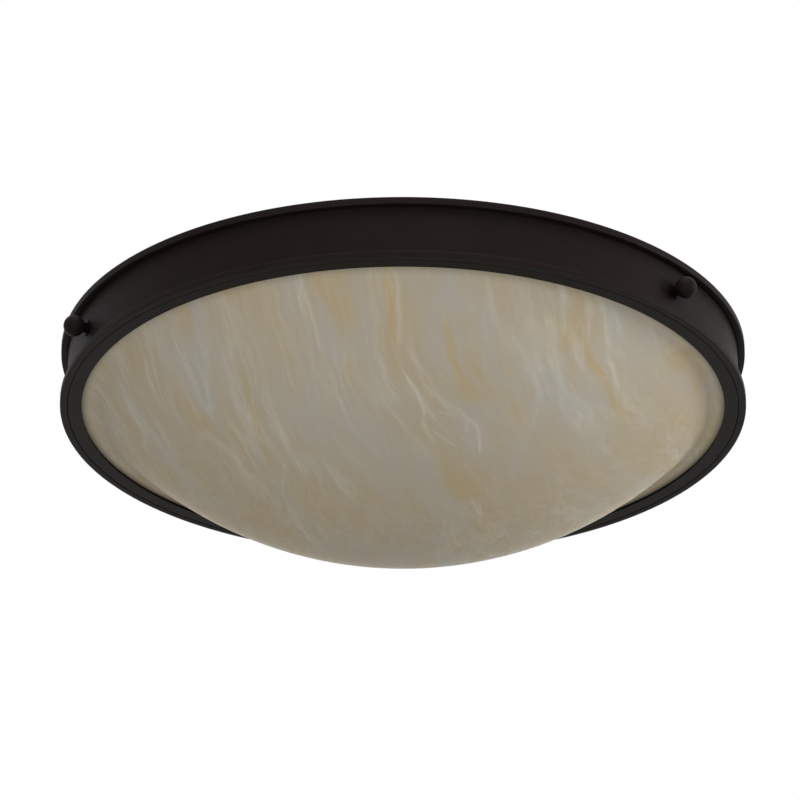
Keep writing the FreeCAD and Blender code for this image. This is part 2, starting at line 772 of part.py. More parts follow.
def lead(angle, beside):
    """One insulated wire: straight from the holder's back, one wide bend, up the nipple."""
    share = beside / abs(beside)
    ring = value("lead_ring_radius")
    corner = (ring * math.cos(math.radians(30)), share * ring / 2)
    depth = value(LAMP_AXIS)
    start = FreeCAD.Vector(value("holder_back_radius"), beside, depth)
    bend = FreeCAD.Vector(*corner, depth)
    end = FreeCAD.Vector(*corner, value("-strap_thickness"))
    inward = (bend - start).normalize()
    upward = FreeCAD.Vector(0, 0, 1)
    radius = 0.45 * (bend - start).Length
    before = bend - inward * radius
    after = bend + upward * radius
    middle = before + upward * radius + (inward - upward).normalize() * radius
    spine = Part.Wire([
        Part.makeLine(start, before),
        Part.Arc(before, middle, after).toShape(),
        Part.makeLine(after, end),
    ])
    section = Part.Wire(Part.makeCircle(value("lead_diameter") / 2, start, inward))
    pipe = spine.makePipeShell([section], True, True)
    pipe.rotate(FreeCAD.Vector(0, 0, 0), FreeCAD.Vector(0, 0, 1), angle)
    return pipe


def make_leads(node, side):
    """The three leads of one polarity, from the holders into the nipple."""
    feature = doc.addObject("Part::Feature", node)
    feature.Label = node
    beside = side * value("lead_spread")
    turns = [value(f"lamp_first_angle + {k} * 360 / {LAMPS}") for k in range(LAMPS)]
    feature.Shape = Part.makeCompound([lead(angle, beside) for angle in turns])
    subparts.append(feature)


# -------------------------------------------------------------------- assembly
def build():
    make_strap()
    make_ground_screw()
    make_stem()
    make_canopy()
    make_slip_ring()
    make_set_screw()
    make_pan()
    make_band()
    make_hoop("lower_hoop", RING_BOTTOM)
    make_hoop("upper_hoop", f"{RING_TOP} - hoop_bar")
    make_bosses()
    make_gasket()
    make_bowl()
    for number in range(1, KNOBS + 1):
        make_knob(number)
    screws = []
    for number in range(1, LAMPS + 1):
        angle = f"(lamp_first_angle + {number - 1} * 360 / {LAMPS})"
        make_bracket(number, angle)
        screws.append(make_bracket_screw(number, angle))
        make_holder(number, angle)
        make_lamp(number, angle)
    joined("bracket_screws", screws)
    make_leads("live_leads", 1)
    make_leads("neutral_leads", -1)


def write_parts():
    """Check every object, then write each sub-part to its own file."""
    doc.recompute()
    for thing in doc.Objects:
        if "Invalid" in thing.State or "Error" in thing.State:
            raise RuntimeError(f"{thing.Label} failed: {thing.State}")
    for part in subparts:
        if part.Shape.isNull() or not part.Shape.isValid() or not part.Shape.Solids:
            raise RuntimeError(f"{part.Label} has no valid solid")
    os.makedirs("parts", exist_ok=True)
    for part in subparts:
        part.Shape.exportStep(f"parts/{part.Label}.step")
    print(f"{len(subparts)} sub-parts written")


build()
write_parts()
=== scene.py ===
"""Looks of a semi flush ceiling light: bronze band frame, ball knobs and a veined bowl.

Metres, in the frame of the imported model: +Z up, the ceiling at z = 0, the viewer on the
-Y side and below. Laid out as an add-on and run as a script.
"""

import json
import math

import bmesh
import bpy
from bpy.props import FloatProperty, FloatVectorProperty, IntProperty, PointerProperty
from mathutils import Matrix, Vector


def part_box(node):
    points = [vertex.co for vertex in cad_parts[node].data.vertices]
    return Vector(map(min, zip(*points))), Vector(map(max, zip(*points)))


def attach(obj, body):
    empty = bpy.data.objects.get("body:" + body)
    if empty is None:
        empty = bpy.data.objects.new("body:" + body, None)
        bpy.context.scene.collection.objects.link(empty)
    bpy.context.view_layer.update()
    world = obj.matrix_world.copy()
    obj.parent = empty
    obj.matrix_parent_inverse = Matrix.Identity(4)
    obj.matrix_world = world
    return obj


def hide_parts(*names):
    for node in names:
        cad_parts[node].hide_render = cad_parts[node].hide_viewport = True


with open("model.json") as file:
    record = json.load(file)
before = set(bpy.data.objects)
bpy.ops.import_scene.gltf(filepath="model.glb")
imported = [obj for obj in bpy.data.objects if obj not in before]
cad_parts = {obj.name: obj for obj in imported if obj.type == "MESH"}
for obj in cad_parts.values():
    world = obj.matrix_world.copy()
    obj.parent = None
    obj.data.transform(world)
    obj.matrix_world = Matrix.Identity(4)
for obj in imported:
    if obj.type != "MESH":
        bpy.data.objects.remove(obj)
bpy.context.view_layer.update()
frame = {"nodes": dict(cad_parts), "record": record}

bl_info = {
    "name": "Semi Flush Ceiling Light",
    "version": (1, 0, 0),
    "blender": (4, 5, 0),
    "location": "View3D > Sidebar > Ceiling Light",
    "description": "Finishes a band-framed ceiling light with a veined bowl diffuser",
    "category": "Object",
}

# ------------------------------------------------------------------ from the frame
UP = Vector((0, 0, 1))
LOWER_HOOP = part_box("lower_hoop")
UPPER_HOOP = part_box("upper_hoop")
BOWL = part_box("bowl_diffuser")
KNOB_ANGLES = (322, 82, 202)  # degrees from +X, seen from above


def outer_radius(box):
    """Half the width of a box round the stem's axis."""
    return (box[1][0] - box[0][0]) / 2


def middle(box):
    """The centre of a box."""
    return (Vector(box[0]) + Vector(box[1])) / 2


def outward(angle):
    """The turn that lays +Z along a spoke of the frame, the angle in degrees from +X."""
    return Matrix.Rotation(math.radians(angle), 4, "Z") @ Matrix.Rotation(math.radians(90), 4, "Y")


def reach(node, way):
    """How near and how far a node reaches along a direction, from the stem's axis."""
    steps = [vertex.co.dot(way) for vertex in frame["nodes"][node].data.vertices]
    return min(steps), max(steps)


RING_RADIUS = outer_radius(LOWER_HOOP)
RING_TOP = UPPER_HOOP[1][2]
RING_BOTTOM = LOWER_HOOP[0][2]
BAR = LOWER_HOOP[1][2] - LOWER_HOOP[0][2]


# ---------------------------------------------------------------- user's settings
class LightSizes(bpy.types.PropertyGroup):
    """Sizes of the details that are added to the frame."""

    hoop_softness: FloatProperty(
        name="Hoop Edge Round", description="Radius of the hoops' long edges",
        default=0.0006, min=0.0001, subtype="DISTANCE", unit="LENGTH")
    round_steps: IntProperty(
        name="Steps Round", description="Steps of every turned piece round the stem",
        default=288, min=48)
    knob_steps: IntProperty(
        name="Knob Steps", description="Steps round each ball knob",
        default=64, min=16)
    thread_pitch: FloatProperty(
        name="Stud Pitch", description="Pitch of the knob studs' thread",
        default=0.000794, subtype="DISTANCE", unit="LENGTH")
    knurl_count: IntProperty(
        name="Knurl Count", description="Ridges round the slip ring's thumb screw",
        default=36, min=8)


class LightColours(bpy.types.PropertyGroup):
    """Colours of the finishes."""

    bronze: FloatVectorProperty(
        name="Bronze", description="Dark oil rubbed bronze", subtype="COLOR",
        size=3, default=(0.0148, 0.0094, 0.0090), min=0, max=1)
    patina: FloatVectorProperty(
        name="Patina", description="Cooler patches of the bronze", subtype="COLOR",
        size=3, default=(0.0112, 0.0100, 0.0092), min=0, max=1)
    # painted sheen: a lighter, warmer bronze for the lower hoop's underside, standing in for light
    # reflected onto it
    painted_underside_sheen: FloatVectorProperty(
        name="Underside Bronze", description="The lower hoop's underside, wiped clean more often",
        subtype="COLOR", size=3, default=(0.0175, 0.0160, 0.0130), min=0, max=1)
    bronze_worn: FloatVectorProperty(
        name="Worn Bronze", description="Edges where the dark finish is rubbed thin", subtype="COLOR",
        size=3, default=(0.034, 0.027, 0.022), min=0, max=1)
    stone: FloatVectorProperty(
        name="Stone", description="Ground colour of the bowl", subtype="COLOR",
        size=3, default=(0.60, 0.52, 0.385), min=0, max=1)
    amber: FloatVectorProperty(
        name="Amber", description="Amber streaks of the bowl", subtype="COLOR",
        size=3, default=(0.64, 0.46, 0.19), min=0, max=1)
    milk: FloatVectorProperty(
        name="Milk", description="White wisps of the bowl", subtype="COLOR",
        size=3, default=(0.79, 0.745, 0.63), min=0, max=1)
    slate: FloatVectorProperty(
        name="Slate", description="Cool grey clouds of the bowl", subtype="COLOR",
        size=3, default=(0.585, 0.56, 0.50), min=0, max=1)
    # painted shade: the Lip colour is the bowl's sheet painted darker where it lies over the dark flange
    lip: FloatVectorProperty(
        name="Lip", description="The bowl's sheet where it lies over the dark flange", subtype="COLOR",
        size=3, default=(0.27, 0.235, 0.17), min=0, max=1)
    enamel: FloatVectorProperty(
        name="Enamel", description="White enamel of the pan", subtype="COLOR",
        size=3, default=(0.80, 0.79, 0.76), min=0, max=1)


def sizes():
    """The sizes in use."""
    return bpy.context.scene.light_sizes


def colours():
    """The colours in use."""
    return bpy.context.scene.light_colours


# ------------------------------------------------------------------ shader maths
class Value:
    """A shader socket that takes part in Python arithmetic."""

    def __init__(self, shader, socket):
        self.shader = shader
        self.socket = socket

    def maths(self, operation, *terms):
        return self.shader.add("ShaderNodeMath", {"operation": operation}, terms)

    def __add__(self, other):
        return self.maths("ADD", self, other)

    __radd__ = __add__

    def __mul__(self, other):
        return self.maths("MULTIPLY", self, other)

    __rmul__ = __mul__

    def __sub__(self, other):
        return self.maths("SUBTRACT", self, other)

    def __rsub__(self, other):
        return self.maths("SUBTRACT", other, self)

    def __truediv__(self, other):
        return self.maths("DIVIDE", self, other)

    def __rtruediv__(self, other):
        return self.maths("DIVIDE", other, self)

    def __pow__(self, other):
        return self.maths("POWER", self, other)

    def __abs__(self):
        return self.maths("ABSOLUTE", self)

    def least(self, other):
        return self.maths("MINIMUM", self, other)

    def most(self, other):
        return self.maths("MAXIMUM", self, other)

    def ramp(self, start, end):
        """0 at start, 1 at end, eased, whichever of the two is larger."""
        low, high = (start, end) if start < end else (end, start)
        out = (0.0, 1.0) if start < end else (1.0, 0.0)
        settings = {"interpolation_type": "SMOOTHSTEP"}
        return self.shader.add("ShaderNodeMapRange", settings, (self, low, high, *out))


class Shader:
    """One material, with its principled shader and a short way to add nodes."""

    def __init__(self, name):
        self.material = bpy.data.materials.new(name)
        self.material.use_nodes = True
        self.tree = self.material.node_tree
        self.surface = self.tree.nodes["Principled BSDF"]

    def add(self, kind, settings=None, values=(), out=0):
        """A node with its settings, then its sockets by place or by name, as one of its outputs."""
        node = self.tree.nodes.new(kind)
        for name, setting in (settings or {}).items():
            setattr(node, name, setting)
        pairs = values.items() if isinstance(values, dict) else enumerate(values)
        for key, value in pairs:
            self.plug(node.inputs[key], value)
        return Value(self, node.outputs[out])

    def plug(self, socket, value):
        if isinstance(value, Value):
            self.tree.links.new(value.socket, socket)
        elif value is not None:
            socket.default_value = value

    def place(self):
        """Object coordinates: the row frame, in metres."""
        return self.add("ShaderNodeTexCoord", out="Object")

    def parts(self, vector):
        node = self.tree.nodes.new("ShaderNodeSeparateXYZ")
        self.plug(node.inputs[0], vector)
        return [Value(self, node.outputs[i]) for i in range(3)]

    def vector(self, x, y, z):
        return self.add("ShaderNodeCombineXYZ", None, (x, y, z))

    def noise(self, vector, scale, detail=4.0, roughness=0.5, distortion=0.0):
        values = {"Vector": vector, "Scale": scale, "Detail": detail, "Roughness": roughness,
                  "Distortion": distortion}
        return self.add("ShaderNodeTexNoise", None, values, "Fac")

    def mix(self, share, first, second):
        """Blend two colours."""
        node = self.tree.nodes.new("ShaderNodeMix")
        node.data_type = "RGBA"
        sockets = {s.identifier: s for s in node.inputs}
        self.plug(sockets["Factor_Float"], share)
        for key, colour in (("A_Color", first), ("B_Color", second)):
            self.plug(sockets[key], colour if isinstance(colour, Value) else (*colour, 1.0))
        result = [s for s in node.outputs if s.identifier == "Result_Color"][0]
        return Value(self, result)

    def bump(self, height, strength, distance):
        values = {"Strength": strength, "Distance": distance, "Height": height}
        return self.add("ShaderNodeBump", None, values)

    def plainly_seen(self):
        """1 for rays that look at a thing, straight, mirrored or through glass, and 0 for light."""
        rays = ("Is Camera Ray", "Is Glossy Ray", "Is Transmission Ray")
        camera, glossy, through = (self.add("ShaderNodeLightPath", out=ray) for ray in rays)
        return camera.most(glossy).most(through)

    def finish(self, **sockets):
        """Feed the principled shader; underscores in a name stand for spaces."""
        for name, value in sockets.items():
            if isinstance(value, tuple) and len(value) == 3 and "Color" in name:
                value = (*value, 1.0)
            self.plug(self.surface.inputs[name.replace("_", " ")], value)
        return self.material


class WorldShader(Shader):
    """The same ways to add nodes, for a world."""

    def __init__(self, name):
        self.world = bpy.data.worlds.new(name)
        self.world.use_nodes = True
        self.tree = self.world.node_tree
        self.tree.nodes.clear()

    def add_output(self, kind, surface):
        node = self.tree.nodes.new(kind)
        self.plug(node.inputs["Surface"], surface)


def made(name, build):
    """The material of that name, built once."""
    return bpy.data.materials.get(name) or build(Shader(name))


# ---------------------------------------------------------------------- finishes
# how far the rubbed edge of a hoop reaches, across its face and up from its corner
RUBBED_IN = 0.0012
RUBBED_FULL = 0.0002
# painted sheen under the lower hoop: where it starts above the bottom, and where it is full
UNDERSIDE_SHEEN_IN = 0.0007
UNDERSIDE_SHEEN_FULL = 0.0001


# painted shadow round a knob's foot: where it starts, where it is full, and how far out it reaches
FOOT_SHADOW_REACH = 0.0175
FOOT_SHADOW_CORE = 0.006
FOOT_SHADOW_OUTSIDE = RING_RADIUS - BAR + 0.0055
FOOT_SHADOW_FADE = 0.003


def bronze(shader):
    """Dark brushed-on bronze: uneven tone, fine orange peel, edges rubbed a little lighter, painted sheen
    under the lower hoop and painted shadow round each knob's foot.
    """
    place = shader.place()
    x, y, z = shader.parts(place)
    cloud = shader.noise(place, 28.0, 5.0, 0.6)
    speck = shader.noise(place, 900.0, 2.0, 0.6)
    patina = shader.noise(place, 11.0, 3.0, 0.5)
    radius = (x * x + y * y) ** 0.5
    outer_edge = (radius - RING_RADIUS).ramp(-RUBBED_IN, 0.0)
    corners = (RING_TOP, RING_TOP - BAR, RING_BOTTOM + BAR, RING_BOTTOM)
    near = [abs(z - level).ramp(RUBBED_IN, RUBBED_FULL) for level in corners]
    rubbed = outer_edge * near[0].most(near[1]).most(near[2]).most(near[3])
    wear = rubbed * cloud.ramp(0.35, 0.65) * 0.55
    dull = tuple(c * 0.85 for c in colours().bronze)
    tone = shader.mix(cloud.ramp(0.3, 0.7), dull, tuple(colours().bronze))
    tone = shader.mix(patina.ramp(0.45, 0.65) * 0.45, tone, tuple(colours().patina))
    # painted sheen: the lower hoop's underside is mixed towards a lighter bronze
    under = z.ramp(RING_BOTTOM + UNDERSIDE_SHEEN_IN, RING_BOTTOM + UNDERSIDE_SHEEN_FULL)
    tone = shader.mix(under * 0.8, tone, tuple(colours().painted_underside_sheen))
    tone = shader.mix(wear, tone, tuple(colours().bronze_worn))
    outside = radius.ramp(FOOT_SHADOW_OUTSIDE, FOOT_SHADOW_OUTSIDE - FOOT_SHADOW_FADE)
    foot_shadow = painted_knob_shadows(x, y, z) * outside
    # painted shadow: a much darker copy of the bronze, mixed in round each knob's foot
    colour = shader.mix(foot_shadow * 0.8, tone, tuple(c * 0.2 for c in colours().bronze))
    rough = 0.44 + cloud * 0.12 + speck * 0.06
    return shader.finish(
        Base_Color=colour, Roughness=rough, Normal=shader.bump(speck, 0.25, 0.0002),
        Specular_IOR_Level=0.05)


def painted_knob_shadows(x, y, z):
    """Painted shadow on the band round the foot of each knob."""
    level = z - middle(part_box("knob_1")).z
    shadow_union = None
    for angle in KNOB_ANGLES:
        turn = math.radians(angle)
        aside = y * math.cos(turn) - x * math.sin(turn)
        facing = (x * math.cos(turn) + y * math.sin(turn)).ramp(0.1, 0.2)
        near = (aside * aside + level * level) ** 0.5
        foot_shadow = near.ramp(FOOT_SHADOW_REACH, FOOT_SHADOW_CORE) * facing
        shadow_union = foot_shadow if shadow_union is None else shadow_union.most(foot_shadow)
    return shadow_union


# painted shade: no light comes through the sheet over the flange and its gasket, so the bowl's colour is
# painted darker on the way there
LIP_SHADE_FROM = 0.278
LIP_SHADE_TO = 0.288
# fibres of the sheet: where they start, how far they are followed, and how they lean and bow
NEAR_LIP = -0.27
VEIN_REACH = 0.40
VEIN_LEAN = 0.18
VEIN_BOW = 1.45
VEIN_RETURN = 3.0
# the far side is swirled and warmer: from y, to y
SWIRL_FROM = -0.15
SWIRL_TO = 0.02
# start x and y, end x and y, sideways bow, half width, strength
AMBER_STREAKS = (
    (-0.014, -0.285, 0.001, -0.204, -0.003, 0.0070, 1.00),
    (0.002, -0.212, 0.040, -0.150, -0.004, 0.0050, 0.55),
    (0.036, -0.250, 0.068, -0.160, -0.006, 0.0060, 0.85),
    (0.132, -0.285, 0.148, -0.209, -0.003, 0.0035, 0.55),
    (0.144, -0.214, 0.189, -0.086, 0.003, 0.0034, 1.00),
    (-0.144, -0.180, -0.116, -0.060, 0.004, 0.0045, 0.80),
    (0.001, -0.080, 0.012, -0.022, 0.002, 0.0050, 0.75),
    (0.070, -0.280, 0.098, -0.190, -0.004, 0.0040, 0.40),
    (-0.175, -0.230, -0.158, -0.120, 0.002, 0.0050, 0.40),
)
MILK_STREAKS = (
    (-0.208, -0.180, -0.176, -0.126, 0.002, 0.0026, 0.50),
    (-0.263, -0.085, -0.245, -0.034, 0.000, 0.0034, 0.50),
    (-0.106, -0.216, -0.090, -0.166, -0.003, 0.0022, 0.50),
    (-0.122, -0.170, -0.100, -0.094, 0.005, 0.0024, 0.45),
    (-0.007, -0.276, -0.001, -0.214, 0.000, 0.0030, 0.42),
    (0.024, -0.165, 0.058, -0.150, -0.003, 0.0022, 0.50),
    (0.020, -0.146, 0.048, -0.120, -0.003, 0.0024, 0.50),
    (0.048, -0.158, 0.052, -0.136, 0.002, 0.0026, 0.45),
    (0.064, -0.272, 0.098, -0.196, -0.003, 0.0050, 0.30),
    (-0.002, -0.206, 0.017, -0.152, 0.004, 0.0024, 0.75),
    (0.016, -0.158, 0.026, -0.126, -0.003, 0.0024, 0.65),
    (0.002, -0.222, 0.032, -0.172, 0.003, 0.0022, 0.60),
    (0.028, -0.178, 0.060, -0.142, 0.002, 0.0025, 0.60),
    (0.056, -0.152, 0.063, -0.108, 0.003, 0.0025, 0.60),
    (0.168, -0.226, 0.187, -0.116, -0.002, 0.0030, 0.80),
    (0.162, -0.250, 0.176, -0.180, -0.002, 0.0060, 0.35),
    (-0.150, -0.150, -0.128, -0.080, 0.003, 0.0020, 0.35),
)
# centre x and y, half length across and along, strength
AMBER_PATCHES = (
    (-0.006, -0.240, 0.019, 0.043, 0.50),
    (-0.043, -0.197, 0.007, 0.016, 0.90),
    (-0.144, -0.090, 0.011, 0.056, 0.50),
    (0.052, -0.182, 0.011, 0.027, 0.55),
    (0.191, -0.100, 0.015, 0.032, 0.60),
    (0.045, -0.070, 0.024, 0.035, 0.75),
    (0.075, -0.003, 0.021, 0.038, 0.60),
    (0.131, -0.199, 0.011, 0.019, 0.55),
    (-0.231, -0.071, 0.019, 0.095, 0.35),
    (0.259, -0.067, 0.006, 0.019, 0.80),
    (0.223, -0.012, 0.019, 0.024, 0.45),
    (-0.113, 0.020, 0.031, 0.041, 0.40),
)
SLATE_PATCHES = (
    (0.205, -0.150, 0.024, 0.036, 0.60),
    (0.041, -0.146, 0.008, 0.011, 0.70),
    (0.150, -0.215, 0.026, 0.030, 0.55),
    (0.195, -0.175, 0.018, 0.030, 0.45),
    (-0.078, -0.154, 0.021, 0.060, 0.80),
    (0.063, -0.224, 0.017, 0.023, 0.75),
    (0.123, -0.159, 0.026, 0.033, 0.90),
    (0.180, -0.193, 0.019, 0.032, 0.90),
    (-0.171, -0.152, 0.009, 0.045, 0.65),
    (-0.057, -0.228, 0.010, 0.022, 0.35),
    (0.212, 0.069, 0.013, 0.037, 0.60),
    (0.253, -0.054, 0.009, 0.027, 0.50),
    (-0.047, 0.041, 0.036, 0.042, 0.40),
)


def alabaster(shader):
    """Cast veined acrylic, formed from a flat sheet whose fibres run away from the viewer."""
    x, y, z = shader.parts(shader.place())
    sway = shader.noise(shader.vector(x * 6.0, y * 5.0, z * 4.0), 1.0, 2.0, 0.5) - 0.5
    shiver = shader.noise(shader.vector(x * 24.0, y * 13.0, 3.7), 1.0, 4.0, 0.55) - 0.5
    inward = (y - NEAR_LIP).least(VEIN_REACH)
    drift = inward * (VEIN_LEAN + inward * (VEIN_BOW - inward * VEIN_RETURN))
    far = y.ramp(SWIRL_FROM, SWIRL_TO)
    curl = shader.noise(shader.vector(x * 30.0, y * 20.0, 7.1), 1.0, 5.0, 0.62, 1.1) - 0.5
    across = x - drift + sway * 0.05 + shiver * 0.022 + curl * far * 0.026

    def sheet(fine, long, shift, detail=4.0, roughness=0.55):
        """Noise drawn out along the fibres: its fineness across them and along them."""
        return shader.noise(shader.vector(across * fine, y * long, shift), 1.0, detail, roughness)

    veil = sheet(26.0, 6.0, 2.0, 5.0, 0.62)
    strand = sheet(80.0, 13.0, 5.0, 4.0, 0.6)
    hair = sheet(240.0, 30.0, 8.0)
    bundle = sheet(13.0, 4.6, 11.0).ramp(0.40, 0.62)
    cool = sheet(11.0, 5.0, 23.0, 5.0).ramp(0.43, 0.60) * (0.45 + 0.45 * veil.ramp(0.62, 0.38))
    ochre = sheet(15.0, 6.0, 14.0, 5.0, 0.6).ramp(0.48, 0.68) * (0.15 + 0.60 * veil.ramp(0.38, 0.60))
    edge = abs(sheet(20.0, 6.0, 17.0, 4.0, 0.5) - 0.5)
    pale = edge.ramp(0.05, 0.0) * bundle * 0.30
    pale = pale.most(strand.ramp(0.48, 0.70) * (0.10 + 0.42 * bundle))
    pale = pale + hair.ramp(0.45, 0.75) * (0.10 + 0.14 * bundle)
    wisp = abs(shader.noise(shader.vector(across * 34.0, y * 16.0, 31.0), 1.0, 4.0, 0.6, 0.8) - 0.5)
    pale = pale.most(wisp.ramp(0.045, 0.0) * far * 0.20)
    cool = cool * (1.0 - far * 0.6)
    ochre = ochre.most(far * (0.10 + 0.34 * veil.ramp(0.40, 0.60)))
    wobble = sway * 0.012 + shiver * 0.016
    for row in SLATE_PATCHES:
        cool = cool.most(patch(x + wobble * 2.0, y, *row))
    for row in AMBER_PATCHES:
        ochre = ochre.most(patch(x + wobble * 2.0, y, *row) * (0.35 + 0.65 * veil.ramp(0.40, 0.60)))
    for row in AMBER_STREAKS:
        ochre = ochre.most(stroke(x + wobble, y, *row) * (0.30 + 0.70 * strand.ramp(0.36, 0.60)))
    for row in MILK_STREAKS:
        pale = pale.most(stroke(x + wobble, y, *row) * (0.35 + 0.65 * strand.ramp(0.36, 0.58)))
    ochre = ochre + strand.ramp(0.50, 0.28) * (0.10 + 0.16 * veil.ramp(0.42, 0.60))
    ground = shader.mix(cool * (1.0 - ochre), tuple(colours().stone), tuple(colours().slate))
    ground = shader.mix(ochre * 0.75, ground, tuple(colours().amber))
    ground = shader.mix(pale, ground, tuple(colours().milk))
    # painted shade: the colour is mixed towards the Lip colour near the bowl's edge
    rim = ((x * x + y * y) ** 0.5).ramp(LIP_SHADE_FROM, LIP_SHADE_TO)
    ground = shader.mix(rim * 0.8, ground, tuple(colours().lip))
    return shader.finish(
        Base_Color=ground, Roughness=0.52 + hair * 0.1, Normal=shader.bump(strand, 0.05, 0.0004),
        Specular_IOR_Level=0.12)


def stroke(x, y, from_x, from_y, to_x, to_y, bow, half, strength):
    """A soft line drawn on the sheet, bowed sideways and fading at both ends."""
    way = (y - from_y) / (to_y - from_y)
    middle_line = way * (to_x - from_x) + way * (1.0 - way) * (4.0 * bow) + from_x
    off = (x - middle_line) / half
    ends = way.ramp(-0.1, 0.25) * way.ramp(1.1, 0.75)
    return 1.0 / (1.0 + off * off) ** 2.0 * ends * strength


def patch(x, y, centre_x, centre_y, half_x, half_y, strength):
    """A soft cloud on the sheet."""
    along = (y - centre_y) / half_y
    across = (x - centre_x - (y - centre_y) * VEIN_LEAN) / half_x
    return 1.0 / (1.0 + across * across + along * along) ** 1.5 * strength


def zinc(shader):
    """Bright plated steel with faint rolling marks."""
    x, y, z = shader.parts(shader.place())
    marks = shader.noise(shader.vector(x, y, z * 9.0), 160.0, 3.0)
    tone = shader.mix(marks, (0.42, 0.42, 0.41), (0.58, 0.58, 0.57))
    return shader.finish(Base_Color=tone, Metallic=1.0, Roughness=0.28 + marks * 0.2)


def green_steel(shader):
    """Green passivated steel of the earth screw."""
    marks = shader.noise(shader.place(), 300.0)
    tone = shader.mix(marks, (0.02, 0.16, 0.05), (0.04, 0.26, 0.09))
    return shader.finish(Base_Color=tone, Metallic=0.6, Roughness=0.35 + marks * 0.15)


def white_enamel(shader):
    """Baked white enamel on pressed steel, with a trace of orange peel."""
    place = shader.place()
    peel = shader.noise(place, 420.0, 2.0)
    dust = shader.noise(place, 9.0, 5.0)
    tone = shader.mix(dust.ramp(0.4, 0.75) * 0.35, tuple(colours().enamel), (0.70, 0.68, 0.63))
    return shader.finish(
        Base_Color=tone, Roughness=0.28 + dust * 0.15, Normal=shader.bump(peel, 0.15, 0.0003))


def black_rubber(shader):
    """Soft sponge cord under the bowl's lip, with open pores."""
    place = shader.place()
    grain = shader.noise(place, 700.0)
    pore = shader.noise(place, 1600.0, 2.0)
    tone = shader.mix(grain, (0.006, 0.006, 0.005), (0.016, 0.015, 0.014))
    return shader.finish(
        Base_Color=tone, Roughness=0.8 + grain * 0.1, Normal=shader.bump(pore, 0.3, 0.0002),
        Specular_IOR_Level=0.2)


def phenolic(shader):
    """Cream moulded lampholder body."""
    grain = shader.noise(shader.place(), 260.0, 5.0)
    return shader.finish(
        Base_Color=shader.mix(grain, (0.66, 0.62, 0.50), (0.78, 0.75, 0.66)),
        Roughness=0.42 + grain * 0.2, Normal=shader.bump(grain, 0.1, 0.0002))


def yellow_brass(shader):
    """Drawn brass of the screw shells."""
    marks = shader.noise(shader.place(), 220.0, 4.0)
    return shader.finish(
        Base_Color=shader.mix(marks, (0.60, 0.40, 0.16), (0.78, 0.58, 0.28)),
        Metallic=1.0, Roughness=0.26 + marks * 0.2)


def cap_aluminium(shader):
    """Thin aluminium of the lamp caps."""
    marks = shader.noise(shader.place(), 240.0, 4.0)
    return shader.finish(
        Base_Color=shader.mix(marks, (0.55, 0.55, 0.54), (0.70, 0.70, 0.68)),
        Metallic=1.0, Roughness=0.3 + marks * 0.2)


def frosted_glass(shader):
    """Inside-frosted lamp glass."""
    frost = shader.noise(shader.place(), 500.0, 3.0)
    return shader.finish(
        Base_Color=shader.mix(frost, (0.84, 0.84, 0.81), (0.90, 0.90, 0.88)),
        Roughness=0.22 + frost * 0.1, Coat_Weight=0.6, Coat_Roughness=0.06)


def insulation(tone):
    """The builder of a lead's plastic in that tone."""
    def build(shader):
        grain = shader.noise(shader.place(), 400.0)
        light = tuple(c * 1.3 + 0.01 for c in tone)
        return shader.finish(Base_Color=shader.mix(grain, tone, light), Roughness=0.45 + grain * 0.1)
    return build


FINISHES = {
    "bronze": ("oil_rubbed_bronze", bronze),
    "alabaster": ("veined_acrylic", alabaster),
    "zinc": ("zinc_plate", zinc),
    "green_screw": ("green_passivate", green_steel),
    "white_enamel": ("white_enamel", white_enamel),
    "rubber": ("black_rubber", black_rubber),
    "holder_plastic": ("cream_phenolic", phenolic),
    "brass": ("yellow_brass", yellow_brass),
    "cap_metal": ("cap_aluminium", cap_aluminium),
    "lamp_glass": ("frosted_glass", frosted_glass),
    "live_insulation": ("black_insulation", insulation((0.012, 0.012, 0.012))),
    "neutral_insulation": ("white_insulation", insulation((0.62, 0.62, 0.59))),
}


def finish_of(slot):
    """The material of one of the record's slots."""
    return made(*FINISHES[slot])


# ---------------------------------------------------------------------- geometry
def arc(centre, radius, start, end, steps):
    """Points on a circle in the (r, z) plane, angles in degrees from +r."""
    angles = [math.radians(start + (end - start) * i / steps) for i in range(steps + 1)]
    return [(centre[0] + radius * math.cos(a), centre[1] + radius * math.sin(a)) for a in angles]


def rounded(corners, radius, steps=4):
    """A closed outline with each corner rounded."""
    outline = []
    for i, corner in enumerate(corners):
        here = Vector(corner)
        back = (Vector(corners[i - 1]) - here).normalized()
        on = (Vector(corners[(i + 1) % len(corners)]) - here).normalized()
        half = back.angle(on) / 2
        centre = here + (back + on).normalized() * (radius / math.sin(half))
        start = here + back * (radius / math.tan(half))
        end = here + on * (radius / math.tan(half))
        first = math.atan2(*(start - centre).yx)
        sweep = math.atan2(*(end - centre).yx) - first
        sweep = (sweep + math.pi) % (2 * math.pi) - math.pi
        for k in range(steps + 1):
            a = first + sweep * k / steps
            outline.append((centre.x + radius * math.cos(a), centre.y + radius * math.sin(a)))
    return outline


def lathe(name, outline, steps):
    """A solid of revolution round Z from a closed (r, z) outline; points on the axis become one pole."""
    shape = bmesh.new()
    rings = []
    for r, z in outline:
        if r < 1e-7:
            rings.append([shape.verts.new((0, 0, z))])
        else:
            turn = [2 * math.pi * k / steps for k in range(steps)]
            rings.append([shape.verts.new((r * math.cos(a), r * math.sin(a), z)) for a in turn])
    for low, high in zip(rings, rings[1:] + rings[:1]):
        if len(low) == 1 and len(high) == 1:
            continue
        for k in range(steps):
            nxt = (k + 1) % steps
            corners = [low[k % len(low)], low[nxt % len(low)], high[nxt % len(high)], high[k % len(high)]]
            shape.faces.new(list(dict.fromkeys(corners)))
    bmesh.ops.recalc_face_normals(shape, faces=shape.faces)
    mesh = bpy.data.meshes.new(name)
    shape.to_mesh(mesh)
    shape.free()
    return mesh


